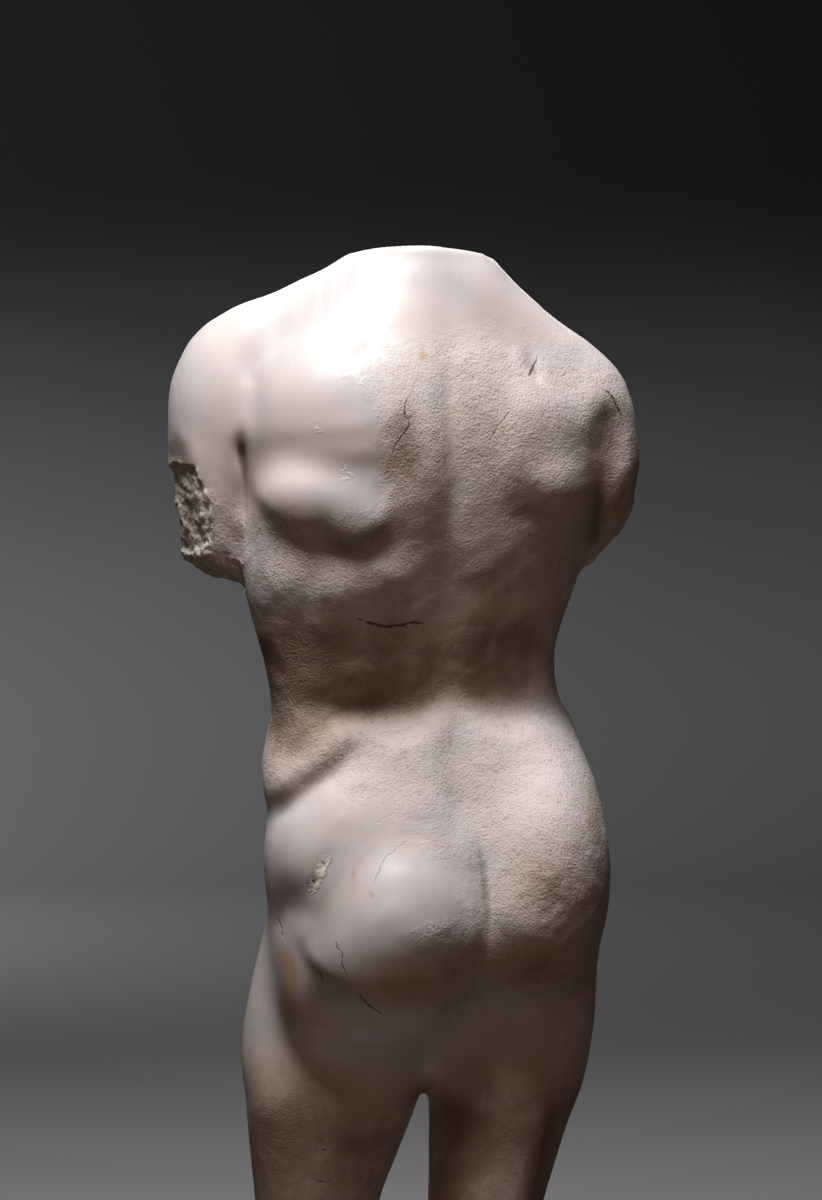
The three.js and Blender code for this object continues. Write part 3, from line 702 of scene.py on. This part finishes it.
def weathered_marble():
    """White marble: part polished, part crusted and stained, rough and grey-beige where it is broken."""
    material = bpy.data.materials.new("weathered_marble")
    material.use_nodes = True
    tree = material.node_tree
    shader = tree.nodes["Principled BSDF"]
    places = node(tree, "ShaderNodeTexCoord").outputs["Object"]
    edge_noise = minus(tree, speckle(tree, places, 0.030, detail=6.0), 0.5)
    stain_noise = minus(tree, speckle(tree, places, 0.055, detail=8.0, rough=0.65, warp=0.6), 0.5)

    def ragged(name, spread, low, high):
        """A mask from the skin's attribute, with an uneven edge."""
        uneven_share = plus(tree, share_of(tree, name), times(tree, stain_noise, spread))
        return between(tree, uneven_share, low, high)

    crusted = ragged("crust", 1.1, 0.1, 1.0)
    # The patina_and_shade and soil_and_shade shares carry stains and dirt, and painted shade as well.
    tanned_and_shaded = ragged("patina_and_shade", 0.9, 0.05, 0.75)
    browned_and_shaded = ragged("patina_and_shade", 1.1, 0.5, 1.2)
    dirt_and_shade = ragged("soil_and_shade", 0.9, 0.1, 1.3)
    ochred = ragged("ochre", 1.0, 0.3, 0.9)
    greyed = ragged("grey", 0.9, 0.25, 1.0)
    torn_edge = minus(tree, speckle(tree, places, 0.009, detail=6.0, rough=0.7), 0.5)
    splintered = plus(tree, share_of(tree, "broken"), times(tree, torn_edge, 1.2))
    torn = between(tree, splintered, 0.35, 0.6)

    pits = placed_effect(tree, pitting, {"Places": places, "Grain": 0.0031, "Amount": 1.0})
    sockets = {"Places": places, "Warm": SKIN_WARM, "Cool": SKIN_COOL, "Wisp": SKIN_WISP, "Size": 0.10}
    colour = placed_effect(tree, mottling, sockets).outputs["Color"]
    grain_tan = toned(tree, speckle(tree, places, 0.012, detail=5.0), PALE_TAN, DEEP_TAN)
    grain_brown = toned(tree, speckle(tree, places, 0.016, detail=6.0), PALE_BROWN, DEEP_BROWN)
    colour = toned(tree, times(tree, crusted, 0.25), colour, CRUST_TONE)
    # Tan and brown stains, which also paint shade low on the back, under the buttocks and on the thighs.
    colour = toned(tree, times(tree, tanned_and_shaded, 0.66), colour, grain_tan)
    colour = toned(tree, times(tree, browned_and_shaded, 0.85), colour, grain_brown)
    colour = toned(tree, times(tree, greyed, 0.5), colour, GREY_STAIN)
    colour = toned(tree, times(tree, ochred, 0.55), colour, OCHRE_STAIN)
    # Dark crease dirt, which also paints shade in the hollows, the cleft, the right arm's crease and under
    # the left blade.
    colour = toned(tree, times(tree, dirt_and_shade, 0.85), colour, CREASE_DIRT_AND_SHADE)
    holed = plus(tree, times(tree, crusted, 0.40), times(tree, browned_and_shaded, 0.35))
    holes = times(tree, pits.outputs["Pits"], holed)
    colour = toned(tree, holes, colour, PIT_SHADE)

    crystals = between(tree, speckle(tree, places, 0.004), 0.5, 0.62)
    bruised = times(tree, share_of(tree, "sparkle"), crystals)
    colour = toned(tree, times(tree, bruised, 0.8), colour, BRUISED_CRYSTAL)

    spots = speckle(tree, places, 0.0075, detail=3.0)
    break_colour = toned(tree, speckle(tree, places, 0.006, detail=6.0), PALE_BREAK, DULL_BREAK)
    break_colour = toned(tree, between(tree, spots, 0.36, 0.29), break_colour, BREAK_SPOT)
    specks = between(tree, speckle(tree, places, 0.0034, detail=3.0), 0.47, 0.36)
    break_colour = toned(tree, times(tree, specks, 0.4), break_colour, BREAK_SPECK)
    colour = toned(tree, torn, colour, break_colour)

    wander = times(tree, minus(tree, speckle(tree, places, 0.009, detail=6.0), 0.5), 7.0)
    off_line = maths(tree, "ABSOLUTE", plus(tree, share_of(tree, "crack_side"), wander))
    opened = share_of(tree, "crack_open")
    crack = between(tree, minus(tree, times(tree, opened, 0.5), off_line), -0.55, 0.15)
    crack = times(tree, crack, between(tree, opened, 0.05, 0.9))
    crack = times(tree, crack, between(tree, spots, 0.36, 0.5, 0.35, 1.0))
    colour = toned(tree, times(tree, crack, 0.85), colour, CRACK_DIRT)
    tree.links.new(colour, shader.inputs["Base Color"])

    roughness = between(tree, crusted, 0.0, 1.0, 0.36, 0.72)
    roughness = plus(tree, roughness, times(tree, edge_noise, 0.12))
    roughness = maths(tree, "MAXIMUM", roughness, times(tree, torn, 0.9))
    roughness = maths(tree, "MINIMUM", roughness, between(tree, bruised, 0.0, 1.0, 1.0, 0.25))
    tree.links.new(roughness, shader.inputs["Roughness"])

    coarse = plus(tree, between(tree, crusted, 0.0, 1.0, 0.03, 1.1), times(tree, browned_and_shaded, 0.6))
    worn_height = times(tree, pits.outputs["Height"], coarse)
    torn_height = times(tree, torn, plus(tree, speckle(tree, places, 0.005, detail=6.0), spots))
    height = plus(tree, worn_height, times(tree, torn_height, 1.7))
    height = plus(tree, height, times(tree, bruised, 0.5))
    height = minus(tree, height, times(tree, crack, 1.6))
    bump = node(tree, "ShaderNodeBump", {"Strength": 1.0, "Distance": 0.0008, "Height": height})
    tree.links.new(bump.outputs["Normal"], shader.inputs["Normal"])
    shader.inputs["Subsurface Weight"].default_value = 0.12
    shader.inputs["Subsurface Radius"].default_value = (1.0, 0.62, 0.45)
    shader.inputs["Subsurface Scale"].default_value = 0.006
    return material


torso.data.materials.clear()
torso.data.materials.append(weathered_marble())

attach(torso, "root")
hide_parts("torso")

# ---- The plinth ----
# A low block of grey limestone that the thighs' cut ends stand on. It is sawn square, with honed faces and a
# narrow chamfer along its edges, and handling has bruised the edges and corners.

PLINTH_CELL = 0.004  # metres between the points of its worn surface
CHAMFER = 0.005  # metres taken off along each edge
LIMESTONE_WARM = (0.42, 0.39, 0.35, 1)
LIMESTONE_COOL = (0.34, 0.33, 0.32, 1)
LIMESTONE_WISP = (0.50, 0.47, 0.43, 1)
FOSSIL_FLECK = (0.56, 0.53, 0.48, 1)
SEED_HOLE = (0.16, 0.14, 0.12, 1)
EDGE_BRUISE = (0.55, 0.52, 0.47, 1)

low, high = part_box("plinth")
bpy.ops.object.select_all(action="DESELECT")
bpy.ops.mesh.primitive_cube_add(size=1, location=(low + high) / 2, scale=high - low)
plinth = bpy.context.object
plinth.name = plinth.data.name = "honed_plinth"
bpy.ops.object.transform_apply(location=True, rotation=True, scale=True)
chamfer = plinth.modifiers.new("chamfer", "BEVEL")
chamfer.width = CHAMFER
chamfer.segments = 1
bpy.ops.object.modifier_apply(modifier=chamfer.name)
worked = plinth.modifiers.new("worked", "REMESH")
worked.mode = "VOXEL"
worked.voxel_size = PLINTH_CELL
bpy.ops.object.modifier_apply(modifier=worked.name)

middle, half = (low + high) / 2, (high - low) / 2
places = np.empty(len(plinth.data.vertices) * 3)
plinth.data.vertices.foreach_get("co", places)
places = places.reshape(-1, 3)
to_faces = np.sort(np.abs(np.array(half)) - np.abs(places - np.array(middle)), axis=1) * 1000
to_edge = np.hypot(np.maximum(to_faces[:, 0], 0), np.maximum(to_faces[:, 1], 0))  # mm from the nearest edge
near_edge = smoothstep(13, 3, to_edge)
bruised = np.zeros(len(places))
at_edge = near_edge > 0
bruised[at_edge] = np.clip(lumps(places[at_edge] * 1000, 34, seed=2) - 0.12, 0, 0.6) * 9
bruised[at_edge] += 0.35 * (1 + lumps(places[at_edge] * 1000, 8, seed=4))
inwards = np.array(middle) - places
inwards /= np.linalg.norm(inwards, axis=1)[:, None]
places += inwards * (bruised * near_edge / 1000)[:, None]
places[:, 2] = np.maximum(places[:, 2], low[2])
plinth.data.vertices.foreach_set("co", places.ravel())
plinth.data.update()
mark(plinth.data, "bruised", np.clip(bruised * near_edge / 1.5, 0, 1))
bpy.ops.object.shade_smooth_by_angle(angle=math.radians(40))


def honed_limestone():
    """Grey limestone, honed flat: small fossil flecks, soft clouds, and pale bruises along the edges."""
    material = bpy.data.materials.new("honed_limestone")
    material.use_nodes = True
    tree = material.node_tree
    shader = tree.nodes["Principled BSDF"]
    places = node(tree, "ShaderNodeTexCoord").outputs["Object"]
    pits = placed_effect(tree, pitting, {"Places": places, "Grain": 0.003, "Amount": 1.0})
    sockets = {"Places": places, "Warm": LIMESTONE_WARM, "Cool": LIMESTONE_COOL, "Wisp": LIMESTONE_WISP,
               "Size": 0.07}
    colour = placed_effect(tree, mottling, sockets).outputs["Color"]
    flecks = between(tree, speckle(tree, places, 0.005, detail=2.0), 0.60, 0.70)
    colour = toned(tree, times(tree, flecks, 0.45), colour, FOSSIL_FLECK)
    seeds = between(tree, speckle(tree, places, 0.0035, detail=3.0, warp=0.5), 0.34, 0.26)
    colour = toned(tree, times(tree, seeds, 0.6), colour, SEED_HOLE)
    chipped = share_of(tree, "bruised")
    colour = toned(tree, times(tree, chipped, 0.6), colour, EDGE_BRUISE)
    tree.links.new(colour, shader.inputs["Base Color"])
    dull = plus(tree, 0.48, times(tree, speckle(tree, places, 0.03, detail=5.0), 0.16))
    tree.links.new(plus(tree, dull, times(tree, chipped, 0.3)), shader.inputs["Roughness"])
    height = times(tree, pits.outputs["Height"], between(tree, chipped, 0.0, 1.0, 0.12, 1.0))
    height = minus(tree, height, times(tree, seeds, 0.3))
    bump = node(tree, "ShaderNodeBump", {"Strength": 0.8, "Distance": 0.0006, "Height": height})
    tree.links.new(bump.outputs["Normal"], shader.inputs["Normal"])
    return material


plinth.data.materials.append(honed_limestone())
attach(plinth, "root")
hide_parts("plinth")

# ---- The studio ----
# The finished work stands on a plain pale floor that sweeps up into a plain wall, darker with height. A soft
# key light hangs above and to the left of the back, and a weak warm one beside the camera fills its shade.
# One more lights only the work, from the front, and one washes the wall.

STUDIO_RADIUS = 9.5
WALL_HEIGHT = 8.0
SWEEP = 3.0  # radius of the curve between the floor and the wall
PALE_FLOOR = (0.30, 0.30, 0.31, 1)
DARK_WALL = (0.02, 0.02, 0.021, 1)

bpy.ops.object.select_all(action="DESELECT")
bpy.ops.mesh.primitive_cylinder_add(vertices=128, radius=STUDIO_RADIUS, depth=WALL_HEIGHT,
                                    location=(0, 0, WALL_HEIGHT / 2))
studio = bpy.context.object
studio.name = studio.data.name = "studio_sweep"
bpy.ops.object.transform_apply(location=True, rotation=True, scale=True)
bpy.ops.object.mode_set(mode="EDIT")
bpy.ops.mesh.select_all(action="DESELECT")
sweep_mesh = bmesh.from_edit_mesh(studio.data)
for face in sweep_mesh.faces:
    face.select_set(face.normal.z > 0.5)
bmesh.update_edit_mesh(studio.data)
bpy.ops.mesh.delete(type="FACE")
sweep_mesh = bmesh.from_edit_mesh(studio.data)
for edge in sweep_mesh.edges:
    edge.select_set(all(corner.co.z < 0.01 for corner in edge.verts))
bmesh.update_edit_mesh(studio.data)
bpy.ops.mesh.bevel(offset=SWEEP, segments=16, affect="EDGES")
bpy.ops.mesh.select_all(action="SELECT")
bpy.ops.mesh.normals_make_consistent(inside=True)
bpy.ops.object.mode_set(mode="OBJECT")
bpy.ops.object.shade_smooth()


def studio_paint():
    """Matt paint, pale on the floor and shading to charcoal up the wall, with a faint roller texture."""
    material = bpy.data.materials.new("studio_paint")
    material.use_nodes = True
    tree = material.node_tree
    shader = tree.nodes["Principled BSDF"]
    places = node(tree, "ShaderNodeTexCoord").outputs["Object"]
    level = node(tree, "ShaderNodeSeparateXYZ", {"Vector": places}).outputs["Z"]
    level = plus(tree, level, times(tree, speckle(tree, places, 0.9, detail=2.0), 0.2))
    colour = toned(tree, between(tree, level, 0.4, 2.5), PALE_FLOOR, DARK_WALL)
    tree.links.new(colour, shader.inputs["Base Color"])
    shader.inputs["Roughness"].default_value = 0.9
    return material


studio.data.materials.append(studio_paint())
studio.visible_diffuse = False
studio.visible_glossy = False
studio.visible_shadow = False

AIM = Vector((STAND[0] / 1000, STAND[1] / 1000, VIEW_HEIGHT / 1000))  # where the camera and lamps point
VIEW_ANGLE = math.radians(160)  # the camera's way round from the front of the plinth
BACK = Vector((math.sin(VIEW_ANGLE), -math.cos(VIEW_ANGLE), 0))
ACROSS = Vector((math.cos(VIEW_ANGLE), math.sin(VIEW_ANGLE), 0))
UP = Vector((0, 0, 1))
camera = bpy.data.objects.new("camera", bpy.data.cameras.new("camera"))
bpy.context.scene.collection.objects.link(camera)
camera.data.sensor_width = 36
camera.data.lens = 108
camera.location = AIM + ACROSS * (VIEW_OFFSET / 1000) + BACK * (VIEW_DISTANCE / 1000)
camera.rotation_mode = "QUATERNION"
camera.rotation_quaternion = (-BACK).to_track_quat("-Z", "Y")
bpy.context.scene.camera = camera


def soft_light(name, offset, width, power, colour, aim=AIM, lights_only=()):
    """A square lamp, set off from the middle of the work; its light can be kept to some pieces."""
    lamp = bpy.data.lights.new(name, "AREA")
    lamp.size = width
    lamp.energy = power
    lamp.color = colour
    holder = bpy.data.objects.new(name, lamp)
    bpy.context.scene.collection.objects.link(holder)
    holder.location = AIM + offset
    holder.rotation_mode = "QUATERNION"
    holder.rotation_quaternion = (aim - holder.location).to_track_quat("-Z", "Y")
    holder.visible_camera = False
    if lights_only:
        lit = bpy.data.collections.new("lit_by_" + name)
        for piece in lights_only:
            lit.objects.link(piece)
        holder.light_linking.receiver_collection = lit


soft_light("key", BACK * 0.80 - ACROSS * 0.31 + UP * 2.15, 0.8, 86, (1, 0.985, 0.98))
soft_light("fill", BACK * 2.4 + ACROSS * 0.1 + UP * 0.8, 1.6, 1.9, (1, 0.66, 0.49))
soft_light("front", -BACK * 2.6 + UP * 0.9, 2.0, 26, (1, 0.99, 0.97), lights_only=(torso, plinth))
soft_light("wall_wash", -BACK * 3.6 - ACROSS * 3.6 + UP * 2.3, 3, 165, (1, 1, 1.03),
           aim=-BACK * 9.5 - ACROSS * 4.6 + UP * 0.5)
world = bpy.data.worlds.new("studio_air")
world.use_nodes = True
world.node_tree.nodes["Background"].inputs["Color"].default_value = (0.027, 0.0205, 0.016, 1)
bpy.context.scene.world = world
bpy.context.scene.view_settings.view_transform = "Standard"
